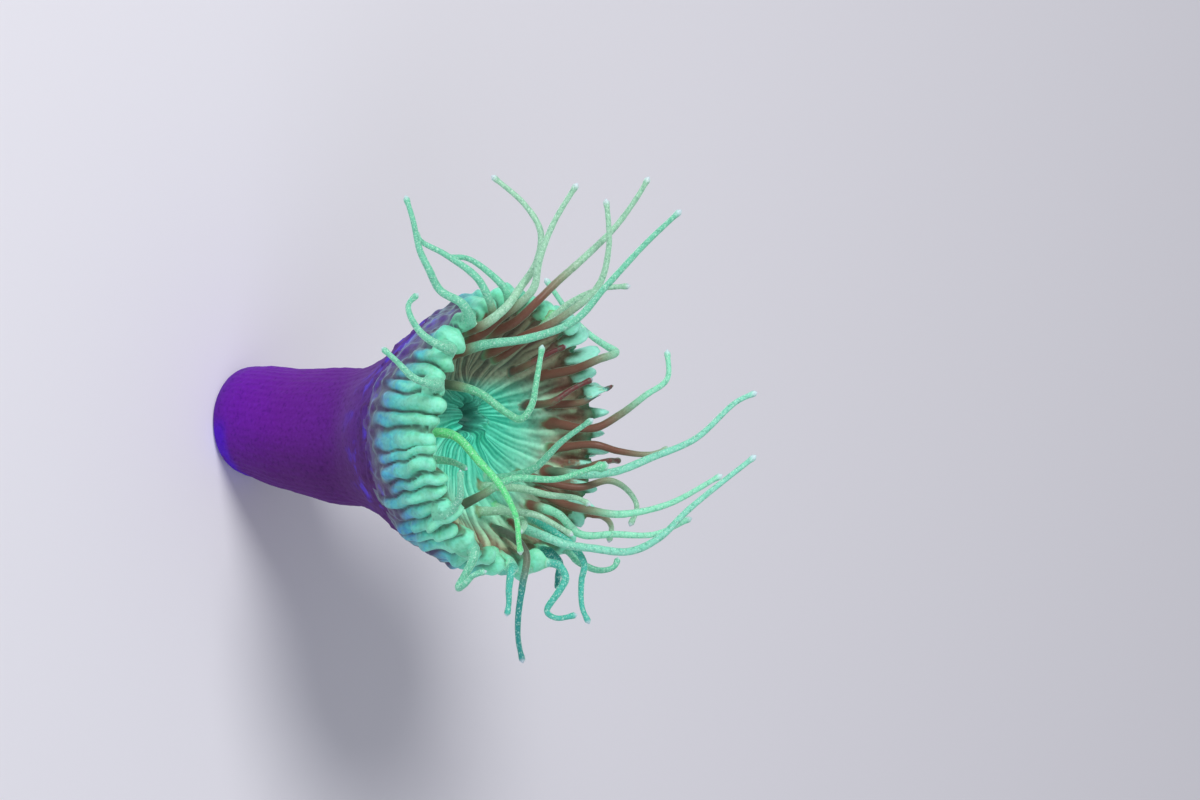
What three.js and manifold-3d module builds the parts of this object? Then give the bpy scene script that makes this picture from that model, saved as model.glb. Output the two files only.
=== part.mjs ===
// A sea anemone at life size, standing on its foot: foot, column in lengths, crown, collar of lobes,
// oral disc, lips and forty tentacles. Millimetres, +Z up, the middle of the foot's sole at the origin.
import * as THREE from "three";
import { mergeVertices } from "three/addons/utils/BufferGeometryUtils.js";
import Module from "manifold-3d";

const wasm = await Module();
wasm.setup();

// Driving dimensions.
const SEAM = 0.3; // gap between neighbouring pieces
const FOOT_TOP = 5; // the foot meets the column here
const COLUMN_MIDDLE = 24; // where the lower length of the column ends
const COLUMN_TOP = 43; // where the crown begins to flare
const COLLAR_FLOOR = 76; // underside of the collar's lobes
const COLLAR_BORE = 32.8; // inner radius of the collar, outer edge of the oral disc
const DISC_FLOOR = 78.5; // underside of the oral disc
const MOUTH_RADIUS = 6.5; // edge of the lips on the oral disc
const CROWN_SHIFT = 3; // how far the crown stands to +X of the foot
const COLUMN_BOW = 3; // sideways bow of the column on its way up
const BOW_HEIGHT = 75; // the column is bowed below this height and straight above it
const COLUMN_SIDES = 24;
const DISC_SIDES = 24;
const LOBES = 36; // lobes round the collar
const LOBE_SWELL = 1.8; // how far a lobe stands out from the grooves beside it
const SIDES_PER_LOBE = 3;
const PLAIN_RADIUS = 36; // the collar is smooth inside this radius
const LOBED_RADIUS = 40.5; // and its lobes are full outside this one
const DENT = 2; // how much less the crown flares on one side, below its largest lobes
const DENT_ANGLE = THREE.MathUtils.degToRad(215); // from +X towards +Y
const DENT_SPREAD = 0.52; // radians to either side
const DENT_FADE = 86; // the dent is full up to this height of the collar
const CREST_HEIGHT = 105; // and gone at this one
const SECTORS = 6; // lengths that the collar is divided into
const ROOT_RADIUS = 1.75; // tentacle at the disc
const SHAFT_RADIUS = 1.25; // tentacle at a third of its length
const NECK_RADIUS = 0.78; // tentacle just below its tip
const KNOB_RADIUS = 0.98; // rounded end of a tentacle
const KNOB_LENGTH = 2.6;
const ROOT_DEPTH = 5; // how far a tentacle's root reaches into the disc
const ROOT_STUB = 3; // length of tentacle that is joined to the disc
const TENTACLE_SIDES = 6;
const TENTACLE_STEP = 6.7; // distance between a tentacle's rings
const LONG_TENTACLE = 70; // a tentacle longer than this is made in two free lengths

// Outlines from the axis outwards and up, as [radius, height].
const FOOT_OUTLINE = [[0, 0], [15.8, 0], [16.6, 0.7], [17.1, 2.4], [17.4, FOOT_TOP], [0, FOOT_TOP]];
const LOWER_SIDE = [[17.5, FOOT_TOP + SEAM], [18.2, 10], [18.8, 16], [19.5, COLUMN_MIDDLE]];
const UPPER_SIDE = [[19.5, COLUMN_MIDDLE + SEAM], [20.2, 31], [20.8, 38], [21.1, COLUMN_TOP]];
const CROWN_SIDE = [
  [21.1, COLUMN_TOP + SEAM],
  [21.5, 50],
  [23.3, 56],
  [26.1, 62],
  [29.9, 68],
  [34.9, COLLAR_FLOOR - SEAM],
];
const COLLAR_OUTSIDE = [[35.1, COLLAR_FLOOR], [38.2, 82], [40.5, 89], [41.6, 95], [41.8, 101], [41.1, 106]];
const COLLAR_INSIDE = [[39.4, 107.3], [37.2, 104], [COLLAR_BORE, 99.6], [COLLAR_BORE, COLLAR_FLOOR]];
const DISC_TOP = [[COLLAR_BORE - SEAM, 99.4], [28, 95.5], [22, 91.5], [14, 88], [MOUTH_RADIUS, 87.2]];
const LIPS = [[MOUTH_RADIUS - SEAM, 87.4], [4.4, 88.7], [2.8, 87.3], [1.4, 82.6], [0, 82]];

// Rings that the tentacles grow from: radius on the crown and height of the surface there.
const RINGS = {
  inner: [17, 89.3],
  middle: [24, 92.8],
  third: [30, 97.2],
  outer: [36, 102.7],
  crest: [40.5, 107.1],
};

// Each tentacle: its ring, its angle from +X towards +Y in degrees, and its way up and out, as points in mm.
const TENTACLES = [
  ["crest", 216, [[-35, -29, 109], [-39, -32, 103], [-45, -36, 102],
    [-51, -38, 100], [-60, -40, 99], [-67, -41, 97]]],
  ["outer", 203, [[-32, -15, 109], [-37, -18, 110], [-43, -21, 108],
    [-50, -25, 99], [-54, -29, 93], [-57, -29, 91]]],
  ["outer", 193, [[-34, -9, 110], [-39, -12, 112], [-44, -14, 108], [-49, -16, 100], [-49, -19, 95]]],
  ["outer", 210, [[-29, -20, 110], [-34, -16, 115], [-40, -9, 115], [-48, -2, 116],
    [-57, 1, 115], [-65, 0, 110], [-74, -5, 101]]],
  ["third", 205, [[-27, -12, 104], [-31, -11, 109], [-35, -11, 116], [-40, -10, 121],
    [-48, -10, 123], [-59, -7, 126], [-71, -3, 132]]],
  ["middle", 172, [[-26, 5, 106], [-31, 9, 116], [-41, 14, 127],
    [-52, 15, 130], [-59, 15, 130], [-67, 15, 129]]],
  ["third", 181, [[-30, 0, 106], [-36, 3, 112], [-42, 9, 115], [-50, 17, 120],
    [-59, 24, 126], [-69, 28, 132], [-74, 30, 134]]],
  ["third", 219, [[-23, -19, 109], [-25, -13, 122], [-30, -6, 133],
    [-40, 0, 140], [-53, 8, 149], [-63, 15, 157]]],
  ["middle", 160, [[-27, 11, 105], [-36, 16, 115], [-40, 21, 122], [-41, 26, 130]]],
  ["third", 125, [[-16, 27, 108], [-19, 30, 115], [-21, 36, 117], [-23, 38, 112],
    [-26, 40, 105], [-31, 39, 99], [-44, 33, 92]]],
  ["middle", 233, [[-9, -18, 106], [-3, -16, 115], [-1, -16, 121],
    [-5, -15, 124], [-12, -14, 125], [-23, -11, 125]]],
  ["third", 66, [[16, 28, 113], [15, 31, 121], [11, 36, 130],
    [5, 43, 142], [-6, 50, 152], [-9, 54, 157]]],
  ["third", 95, [[2, 34, 110], [-2, 39, 116], [-8, 43, 123], [-13, 46, 129], [-22, 46, 129]]],
  ["third", 20, [[34, 11, 107], [37, 15, 114], [38, 18, 121], [39, 24, 131],
    [35, 28, 139], [26, 33, 147], [10, 45, 163]]],
  ["third", 41, [[28, 20, 107], [34, 22, 114], [34, 27, 123], [34, 34, 133], [29, 41, 142]]],
  ["middle", 56, [[20, 28.5, 108], [18, 37, 114], [21, 42, 117], [26, 44, 119], [32, 43, 117]]],
  ["outer", 50, [[28, 29, 112], [29, 35, 113], [32, 39, 113], [37, 39, 112]]],
  ["crest", 33, [[42, 23, 112], [45, 27, 117], [44, 31, 120], [41, 32, 121]]],
  ["inner", 30, [[14, 8, 107], [6, 10, 116], [-1, 14, 125]]],
  ["third", 270, [[4, -29, 106], [12, -28, 115], [19, -27, 122],
    [28, -25, 126], [35, -25, 127], [39, -24, 127]]],
  ["third", 5, [[35, 0, 106], [40, -2, 112], [49, -4, 112],
    [58, -6, 112], [65, -6, 112], [72, -5, 113]]],
  ["crest", 356, [[45, -7, 110], [50, -8, 110], [54, -8, 110], [58, -9, 110]]],
  ["crest", 328, [[41, -23, 108], [49, -26, 105], [48, -28, 109], [45, -27, 112], [44, -25, 115]]],
  ["crest", 23, [[43, 17, 110], [47, 16, 110], [51, 16, 110]]],
  ["crest", 13, [[43, 12, 113], [47, 12, 116], [51, 10, 115],
    [57, 8, 112], [59, 10, 114], [58, 14, 119]]],
  ["third", 32, [[32, 16, 106], [38, 19, 114], [43, 20, 117],
    [48, 20, 116], [56, 19, 117], [61, 20, 119]]],
  ["crest", 233, [[-22, -38, 109], [-26, -43, 105], [-32, -44, 101], [-35, -43, 100], [-38, -41, 102]]],
  ["crest", 250, [[-11, -43, 109], [-13, -48, 106], [-18, -50, 101], [-22, -52, 97]]],
  ["third", 320, [[22, -17, 106], [17, -12, 114], [17, 0, 122], [14, 10, 127], [13, 15, 130]]],
  ["third", 80, [[7, 34, 110], [9, 40, 115], [10, 48, 121], [8, 53, 125]]],
  ["third", 52, [[25, 23, 107], [27, 26, 116], [28, 30, 123], [25, 38, 135], [16, 47, 149]]],
  ["inner", 12, [[20, 6, 103], [22, 9, 112], [23, 13, 120], [25, 14, 124]]],
  ["middle", 355, [[27, 1, 106], [28, 3, 112], [31, 6, 117], [34, 8, 122]]],
  ["middle", 18, [[29, 6, 103], [31, 1, 109], [33, -4, 111]]],
  ["third", 106, [[-6, 32, 107], [-9, 36, 111], [-11, 40, 113]]],
  ["middle", 110, [[-6, 21, 104], [-10, 26, 108], [-13, 31, 112]]],
  ["outer", 70, [[13, 34, 111], [12, 39, 112], [12, 46, 111]]],
  ["middle", 140, [[-18, 14, 102], [-21, 19, 105], [-23, 23, 108]]],
  ["crest", 305, [[22, -34, 112], [18, -35, 113], [14, -35, 113]]],
  ["middle", 290, [[12, -23, 101], [14, -23, 106]]],
];

const material = (color, roughness) => new THREE.MeshStandardMaterial({ color, roughness, metalness: 0 });
const COLUMN_SKIN = material("#6a1b95", 0.5);
const CROWN_SKIN = material("#62409c", 0.5);
const COLLAR_SKIN = material("#74d6bc", 0.4);
const DISC_SKIN = material("#3f8a74", 0.45);
const LIP_SKIN = material("#3fd0b0", 0.4);
const TENTACLE_SKIN = material("#93e2b6", 0.35);

const vectors = (outline) => outline.map(([radius, height]) => new THREE.Vector2(radius, height));

// The column's axis leaves the middle of the foot, bows to +X and stands straight again in the crown.
function axisShift(height) {
  const rise = Math.min(height / BOW_HEIGHT, 1);
  const ease = rise * rise * (3 - 2 * rise);
  return CROWN_SHIFT * ease + COLUMN_BOW * Math.sin(Math.PI * rise);
}

// Moves every corner of a shape to where place(corner) puts it.
function reshape(geometry, place) {
  const corners = geometry.getAttribute("position");
  const corner = new THREE.Vector3();
  for (let i = 0; i < corners.count; i += 1) {
    corner.fromBufferAttribute(corners, i);
    place(corner, i);
    corners.setXYZ(i, corner.x, corner.y, corner.z);
  }
  return geometry;
}

// A closed shape as a solid that can be joined and cut.
function solidOf(geometry) {
  geometry.deleteAttribute("normal");
  geometry.deleteAttribute("uv");
  const merged = mergeVertices(geometry, 1e-4);
  const vertProperties = merged.getAttribute("position").array;
  const triVerts = new Uint32Array(merged.index.array);
  return new wasm.Manifold(new wasm.Mesh({ numProp: 3, vertProperties, triVerts }));
}

function geometryOf(solid) {
  const { vertProperties, triVerts } = solid.getMesh();
  const geometry = new THREE.BufferGeometry();
  geometry.setAttribute("position", new THREE.BufferAttribute(vertProperties, 3));
  geometry.setIndex(new THREE.BufferAttribute(triVerts, 1));
  geometry.computeVertexNormals();
  return geometry;
}

// An outline turned round the upright axis, with the turning axis along +Z.
const turned = (outline, sides) => new THREE.LatheGeometry(vectors(outline), sides).rotateX(Math.PI / 2);

// A round length of the body on the bowed axis.
function bodyPiece(outline, sides) {
  const shift = (corner) => {
    corner.x += axisShift(corner.z);
  };
  return reshape(turned(outline, sides), shift);
}

// How much less the crown and the collar flare at this angle and height.
function flareDent(angle, height) {
  const turn = Math.atan2(Math.sin(angle - DENT_ANGLE), Math.cos(angle - DENT_ANGLE));
  const rise = THREE.MathUtils.smoothstep(height, COLUMN_TOP, COLLAR_FLOOR);
  const fall = 1 - THREE.MathUtils.smoothstep(height, DENT_FADE, CREST_HEIGHT);
  return DENT * Math.exp(-((turn / DENT_SPREAD) ** 2)) * rise * fall;
}

// A length of the column between two flat cuts.
function columnPiece(side) {
  const floor = side[0][1];
  const top = side[side.length - 1][1];
  return bodyPiece([[0, floor], ...side, [0, top]], COLUMN_SIDES);
}

// The flaring crown, with the short core that carries the oral disc on its top. Only the flare is dented.
function crownPiece() {
  const core = [[COLLAR_BORE - SEAM, COLLAR_FLOOR - SEAM], [COLLAR_BORE - SEAM, DISC_FLOOR - SEAM]];
  const outline = [[0, CROWN_SIDE[0][1]], ...CROWN_SIDE, ...core, [0, DISC_FLOOR - SEAM]];
  const coreStart = CROWN_SIDE.length + 1;
  return reshape(turned(outline, COLUMN_SIDES), (corner, index) => {
    const onFlare = index % outline.length > 0 && index % outline.length < coreStart;
    const radius = Math.hypot(corner.x, corner.y);
    const growth = onFlare ? 1 - flareDent(Math.atan2(corner.y, corner.x), corner.z) / radius : 1;
    corner.x = corner.x * growth + axisShift(corner.z);
    corner.y *= growth;
  });
}

// How far the collar swells at this angle: full in the middle of a lobe and nothing in a groove.
const lobeSwell = (angle) => LOBE_SWELL * Math.sqrt(Math.abs(Math.sin((LOBES * angle) / 2)));

// The collar as one ring. The swelling dies out towards its floor and on its inner wall.
function collarRing() {
  const ring = turned([...COLLAR_OUTSIDE, ...COLLAR_INSIDE, COLLAR_OUTSIDE[0]], LOBES * SIDES_PER_LOBE);
  const swell = (corner) => {
    const radius = Math.hypot(corner.x, corner.y);
    const share = THREE.MathUtils.smoothstep(radius, PLAIN_RADIUS, LOBED_RADIUS);
    const angle = Math.atan2(corner.y, corner.x);
    const dent = radius > COLLAR_BORE + SEAM ? flareDent(angle, corner.z) : 0;
    const growth = 1 + (share * lobeSwell(angle) - dent) / radius;
    corner.x = corner.x * growth + axisShift(corner.z);
    corner.y *= growth;
  };
  return reshape(ring, swell);
}

// An upright wedge between two of the collar's radial seams.
function sectorWedge(index) {
  const span = (2 * Math.PI) / SECTORS;
  const start = index * span;
  const reach = 100;
  const depth = 60;
  const outline = new THREE.Shape([
    new THREE.Vector2(0, 0),
    new THREE.Vector2(reach * Math.cos(start), reach * Math.sin(start)),
    new THREE.Vector2(reach * Math.cos(start + span), reach * Math.sin(start + span)),
  ]);
  const wedge = new THREE.ExtrudeGeometry(outline, { depth, bevelEnabled: false });
  const inset = SEAM / 2 / Math.sin(span / 2);
  const middle = start + span / 2;
  return wedge.translate(CROWN_SHIFT + inset * Math.cos(middle), inset * Math.sin(middle), COLLAR_FLOOR - 5);
}

function tentacleRoute(ring, degrees, points) {
  const [radius, height] = RINGS[ring];
  const angle = THREE.MathUtils.degToRad(degrees);
  const root = new THREE.Vector3(CROWN_SHIFT + radius * Math.cos(angle), radius * Math.sin(angle), height);
  const buried = root.clone().setZ(height - ROOT_DEPTH);
  const way = points.map((point) => new THREE.Vector3(...point));
  return new THREE.CatmullRomCurve3([buried, root, ...way], false, "centripetal");
}

function tentacleRadius(share) {
  const base = THREE.MathUtils.smoothstep(share, 0, 0.35);
  const shaft = THREE.MathUtils.lerp(ROOT_RADIUS, SHAFT_RADIUS, base);
  return THREE.MathUtils.lerp(shaft, NECK_RADIUS, THREE.MathUtils.smoothstep(share, 0.3, 1));
}

// The outline of a tentacle between two distances along it, as [radius, distance]. The tip ends in a knob.
function tentacleOutline(from, to, length, hasTip) {
  const shaftEnd = hasTip ? to - KNOB_LENGTH : to;
  const steps = Math.max(1, Math.round((shaftEnd - from) / TENTACLE_STEP));
  const outline = [[0, from]];
  for (let i = 0; i <= steps; i += 1) {
    const distance = from + ((shaftEnd - from) * i) / steps;
    outline.push([tentacleRadius(distance / length), distance]);
  }
  if (hasTip) outline.push([KNOB_RADIUS, to - KNOB_LENGTH / 2], [NECK_RADIUS * 0.8, to - 0.4]);
  outline.push([0, to]);
  return outline;
}

// Frames along the route at the outline's distances, each turned from the last as little as can be.
function framesAlong(route, distances, length) {
  const frames = [];
  let across = new THREE.Vector3(1, 0, 0);
  for (const distance of distances) {
    const share = distance / length;
    const along = route.getTangentAt(share);
    across = across.addScaledVector(along, -across.dot(along)).normalize();
    const aside = new THREE.Vector3().crossVectors(along, across);
    frames.push({ place: route.getPointAt(share), across, aside });
    across = across.clone();
  }
  return frames;
}

// A length of tentacle: its outline is turned about a straight axis, and each ring is then set on the route.
function tentacleLength(route, from, to, hasTip) {
  const length = route.getLength();
  const outline = tentacleOutline(from, to, length, hasTip);
  const frames = framesAlong(route, outline.map((point) => point[1]), length);
  const straight = new THREE.LatheGeometry(vectors(outline), TENTACLE_SIDES);
  return reshape(straight, (corner, index) => {
    const { place, across, aside } = frames[index % outline.length];
    const x = corner.x;
    const z = corner.z;
    corner.copy(place).addScaledVector(aside, x).addScaledVector(across, z);
  });
}

const anemone = new THREE.Group();

function addNode(name, geometry, skin) {
  const mesh = new THREE.Mesh(geometry, skin);
  mesh.name = name;
  anemone.add(mesh);
}

// Body.
addNode("foot", bodyPiece(FOOT_OUTLINE, COLUMN_SIDES), COLUMN_SKIN);
addNode("column_lower", columnPiece(LOWER_SIDE), COLUMN_SKIN);
addNode("column_upper", columnPiece(UPPER_SIDE), COLUMN_SKIN);

addNode("crown", crownPiece(), CROWN_SKIN);
const lipsFloor = [[0, DISC_FLOOR], [MOUTH_RADIUS - SEAM, DISC_FLOOR]];
addNode("lips", bodyPiece([...lipsFloor, ...LIPS], DISC_SIDES), LIP_SKIN);

// The disc and the collar carry the first length of every tentacle that grows from them.
const discFloor = [[MOUTH_RADIUS, DISC_FLOOR], [COLLAR_BORE - SEAM, DISC_FLOOR]];
let disc = solidOf(bodyPiece([...discFloor, ...DISC_TOP, discFloor[0]], DISC_SIDES));
let collar = solidOf(collarRing());

TENTACLES.forEach(([ring, degrees, points], index) => {
  const route = tentacleRoute(ring, degrees, points);
  const length = route.getLength();
  const free = ROOT_DEPTH + ROOT_STUB;
  const root = solidOf(tentacleLength(route, 0, free, false));
  if (ring === "outer" || ring === "crest") collar = collar.add(root);
  else disc = disc.add(root);

  const name = `tentacle_${String(index + 1).padStart(2, "0")}`;
  const start = free + SEAM;
  if (length > LONG_TENTACLE) {
    const joint = (start + length) / 2;
    addNode(`${name}_shaft`, tentacleLength(route, start, joint, false), TENTACLE_SKIN);
    addNode(`${name}_end`, tentacleLength(route, joint + SEAM, length, true), TENTACLE_SKIN);
  } else addNode(name, tentacleLength(route, start, length, true), TENTACLE_SKIN);
});

addNode("oral_disc", geometryOf(disc), DISC_SKIN);
for (let i = 0; i < SECTORS; i += 1) {
  const sector = collar.intersect(solidOf(sectorWedge(i)));
  addNode(`collar_${i + 1}`, geometryOf(sector), COLLAR_SKIN);
}

export default anemone;
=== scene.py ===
# A sea anemone at life size, standing on its foot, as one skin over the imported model's solids.
import math
from collections import namedtuple

import bmesh
import bpy
from mathutils import Matrix, Vector, noise
from mathutils.kdtree import KDTree


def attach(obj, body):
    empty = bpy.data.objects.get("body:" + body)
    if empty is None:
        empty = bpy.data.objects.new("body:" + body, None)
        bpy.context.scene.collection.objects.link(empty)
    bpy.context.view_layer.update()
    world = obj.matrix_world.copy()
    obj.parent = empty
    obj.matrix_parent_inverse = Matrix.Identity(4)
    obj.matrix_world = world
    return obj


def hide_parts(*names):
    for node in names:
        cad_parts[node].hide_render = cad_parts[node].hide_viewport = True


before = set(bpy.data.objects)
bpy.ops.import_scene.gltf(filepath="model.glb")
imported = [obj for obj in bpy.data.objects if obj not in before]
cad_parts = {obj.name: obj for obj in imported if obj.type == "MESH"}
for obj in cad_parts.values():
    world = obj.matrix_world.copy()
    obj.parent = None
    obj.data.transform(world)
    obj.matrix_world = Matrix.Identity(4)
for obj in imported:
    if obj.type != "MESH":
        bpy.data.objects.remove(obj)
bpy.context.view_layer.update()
scene = bpy.context.scene


# ---------------------------------------------------------------------------------------------
# Body wall: foot, column, flaring crown, collar, oral disc and mouth. It is one bag of soft
# muscular flesh, stiff with the water in it, that clings by its sole and leans to +X on the way
# up. It is spun round the upright axis from one outline in mm, and then swollen and folded.
CROWN_SHIFT = 3.0  # the crown stands this far to +X of the foot
COLUMN_BOW = 3.0  # and the column bows this much further to +X on the way
BEND_HEIGHT = 75.0  # where the bend ends
STEPS_AROUND = 456
CURVE_STEPS = 24  # short steps from each point of a curve to the next

# The outline from the middle of the sole, up the outside, over the crest and in to the mouth. Each
# part has its points, as radius and height, and the distance between its rows of corners.
OUTLINE_PARTS = {
    "sole": ([(0, 0), (8, 0), (15.8, 0)], 4.5),
    "foot": ([(15.8, 0), (16.5, 0.6), (17.1, 2.3), (17.45, 4.8), (17.8, 7.5)], 0.8),
    "column": (
        [(17.8, 7.5), (18.2, 10), (18.8, 16), (19.5, 24), (20.2, 31), (20.8, 38), (21.1, 44)], 2.0),
    "crown": ([(21.1, 44), (21.5, 50), (23.3, 56), (26.1, 62), (29.9, 68), (33.9, 74)], 1.45),
    "collar": (
        [(33.9, 74), (37.2, 80), (39.6, 86), (40.8, 92), (41.2, 98), (41.0, 103),
         (40.3, 106.3), (38.6, 106.3), (36.6, 103.6), (34.2, 100.7)], 0.8),
    "disc": ([(34.2, 100.7), (31.5, 98.6), (28, 95.6), (22, 91.6), (16, 88.7), (11, 87.6)], 1.15),
    "lips": (
        [(11, 87.6), (9.4, 87.8), (8.0, 88.7), (6.9, 89.3), (5.9, 88.6), (5.3, 86.6), (4.2, 83.8),
         (2.4, 82.4), (0, 82.0)], 0.7),
}
SOLE, FOOT, COLUMN, CROWN, COLLAR, DISC, LIPS = range(len(OUTLINE_PARTS))
CREST = COLLAR + 0.81

# What the skin notes at every corner for its paint: its place along the outline, how far it is up
# a lobe and up a ridge of the disc; and, on a tentacle, that it is one, its share of the way to the
# tip, the share that is brown, and its tone.
LAYERS = ("place", "lobe", "ridge", "tentacle", "share", "brown", "tone")


def smooth(low, high, value):
    """Rises from 0 where the value is low to 1 where it is high, with soft ends."""
    share = min(max((value - low) / (high - low), 0.0), 1.0)
    return share * share * (3 - 2 * share)


def mix(a, b, share):
    return a + (b - a) * share


def wobble(*values):
    """Smooth noise from about -1 to 1. A number that no other wobble has makes it differ from them."""
    return noise.noise(Vector((*values, 0.37, 0.0)[:3]))


def axis_shift(height):
    """How far the middle of the body lies to +X at a height."""
    rise = min(max(height / BEND_HEIGHT, 0.0), 1.0)
    return CROWN_SHIFT * smooth(0, 1, rise) + COLUMN_BOW * math.sin(math.pi * rise)


def smooth_way(points, step):
    """Points a step apart on the centripetal curve through the given ones, and the curve's length."""
    knots = [2 * points[0] - points[1], *points, 2 * points[-1] - points[-2]]
    fine = []
    for before, start, end, after in zip(knots, knots[1:], knots[2:], knots[3:]):
        gap_before, gap, gap_after = (
            max((b - a).length, 1e-6) ** 0.5 for a, b in ((before, start), (start, end), (end, after)))
        leave = (start - before) / gap_before - (end - before) / (gap_before + gap) + (end - start) / gap
        arrive = (end - start) / gap - (after - start) / (gap + gap_after) + (after - end) / gap_after
        for i in range(CURVE_STEPS):
            t = i / CURVE_STEPS
            fine.append(start * (2 * t**3 - 3 * t**2 + 1) + leave * gap * (t**3 - 2 * t**2 + t)
                        + end * (3 * t**2 - 2 * t**3) + arrive * gap * (t**3 - t**2))
    fine.append(points[-1].copy())
    length = sum((b - a).length for a, b in zip(fine, fine[1:]))
    count = max(2, round(length / step))
    way, walked, index = [fine[0]], 0.0, 0
    for i in range(1, count):
        target = length * i / count
        while walked + (fine[index + 1] - fine[index]).length < target:
            walked += (fine[index + 1] - fine[index]).length
            index += 1
        part = fine[index + 1] - fine[index]
        way.append(fine[index] + part * ((target - walked) / part.length))
    way.append(fine[-1])
    return way, length


# Places along the outline are 0 in the middle of the sole and whole numbers where the next part
# starts, so COLLAR + 0.5 is half way over the collar.
rows = []
for part, (points, step) in enumerate(OUTLINE_PARTS.values()):
    way, _ = smooth_way([Vector((radius, 0, height)) for radius, height in points], step)
    rows += [(point, part + i / (len(way) - 1)) for i, point in enumerate(way[:-1])]
rows.append((way[-1], float(len(OUTLINE_PARTS))))

body = bmesh.new()
for name in LAYERS:
    body.verts.layers.float.new(name)
place_layer, lobe_layer, ridge_layer = (body.verts.layers.float[name] for name in LAYERS[:3])
corners = []
for point, place in rows:
    corner = body.verts.new(point)
    corner[place_layer] = place
    corners.append(corner)
edges = [body.edges.new(pair) for pair in zip(corners, corners[1:])]
bmesh.ops.spin(body, geom=corners + edges, cent=(0, 0, 0), axis=(0, 0, 1), dvec=(0, 0, 0), angle=math.tau,
               steps=STEPS_AROUND, use_merge=True, use_normal_flip=False, use_duplicate=False)
bmesh.ops.remove_doubles(body, verts=body.verts, dist=1e-3)
bmesh.ops.recalc_face_normals(body, faces=body.faces)
body.normal_update()

# Collar: fat lobes side by side, parted by deep creases, which lie at these angles in degrees from
# +X towards +Y. On the near side the lobes fan out, so that their outer ends lie further apart.
CREASES = [
    0, 8, 17, 26, 34, 43, 51, 60, 68, 77, 85, 94, 103, 112, 121, 130, 139, 147, 156, 165, 173, 182,
    192, 206, 221, 235, 243, 250.5, 255.5, 263, 268, 274.5, 279, 286, 291, 298, 304, 312, 318, 327,
    336, 343, 352]
COLLAR_RADIUS = 43
LOBE_RISE = 0.6  # of a lobe's half width
MOST_RISE = 2.5
BEAD_SIZE = 1.85  # how much more than that its beads bulge
CREASE_DEPTH = 0.6  # of a lobe's rise
LOBE_START = COLLAR + 0.24
LOBE_END = COLLAR + 0.92
NEAR_SIDE = 268
FAN = math.radians(14)
FAN_SPREAD = 1.05  # radians
HIGH_SIDE = 215  # here the lobes are the biggest and start the highest, over a dent in the crown
HIGH_SPREAD = 30
DENT = 3.0
FAR_SIDE = (5, 35, 140, 170)  # the lobes are slim fingers between the middle two

# Disc and lips: a ridge on the disc above each partition inside, and soft folds round the mouth.
RIDGES = 72
RIDGE_HEIGHTS = (0.10, 0.42, 0.35)  # at the mouth, added over the disc, and added near its rim
MOUTH_SHIFT = 4.0  # the mouth lies this far to -X of the disc's middle
MOUTH_NARROWING = 0.22
LIP_FOLDS = 11

# Column: faint lines, one for every partition, soft wrinkles, and warts below the lobes.
COLUMN_LINES = 48
LINE_HEIGHT = 0.05
WRINKLES = (0.22, 0.6, 0.10)  # rings round the column, broad swellings and fine grain
WART_HEIGHT = 1.6
WART_SINK = 0.2  # how far the skin between the warts is drawn in
PAINTED_START = 0.45  # share of the collar that is painted as lying below the lobes

Spot = namedtuple("Spot", "place x y height radius angle degrees out aside outward")


def spot_of(corner):
    """Where a corner is on the body: its place on the outline, its angle, and the ways out and round."""
    x, y, height = corner.co
    angle = math.atan2(y, x)
    aside = Vector((-math.sin(angle), math.cos(angle), 0))
    outward = Vector((math.cos(angle), math.sin(angle), 0))
    return Spot(corner[place_layer], x, y, height, math.hypot(x, y), angle, math.degrees(angle) % 360,
                corner.normal.copy(), aside, outward)


def high_side(degrees):
    return math.exp(-(((degrees - HIGH_SIDE) / HIGH_SPREAD) ** 2))


def far_side(degrees):
    first, full, last, end = FAR_SIDE
    return smooth(first, full, degrees) * (1 - smooth(last, end, degrees))


def rounded(share):
    """Rises from 0 at 0 to 1 at 1 as the end of a bead does."""
    share = min(max(share, 0.0), 1.0)
    return math.sqrt(1 - (1 - share) ** 2)


def lobe_at(angle):
    """Number of the lobe at this angle, the place across it from -1 to 1, and its width in radians."""
    degrees = math.degrees(angle) % 360
    for number, (start, end) in enumerate(zip(CREASES, CREASES[1:] + [360])):
        if start <= degrees < end:
            break
    return number, (degrees - start) / (end - start) * 2 - 1, math.radians(end - start)


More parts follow.
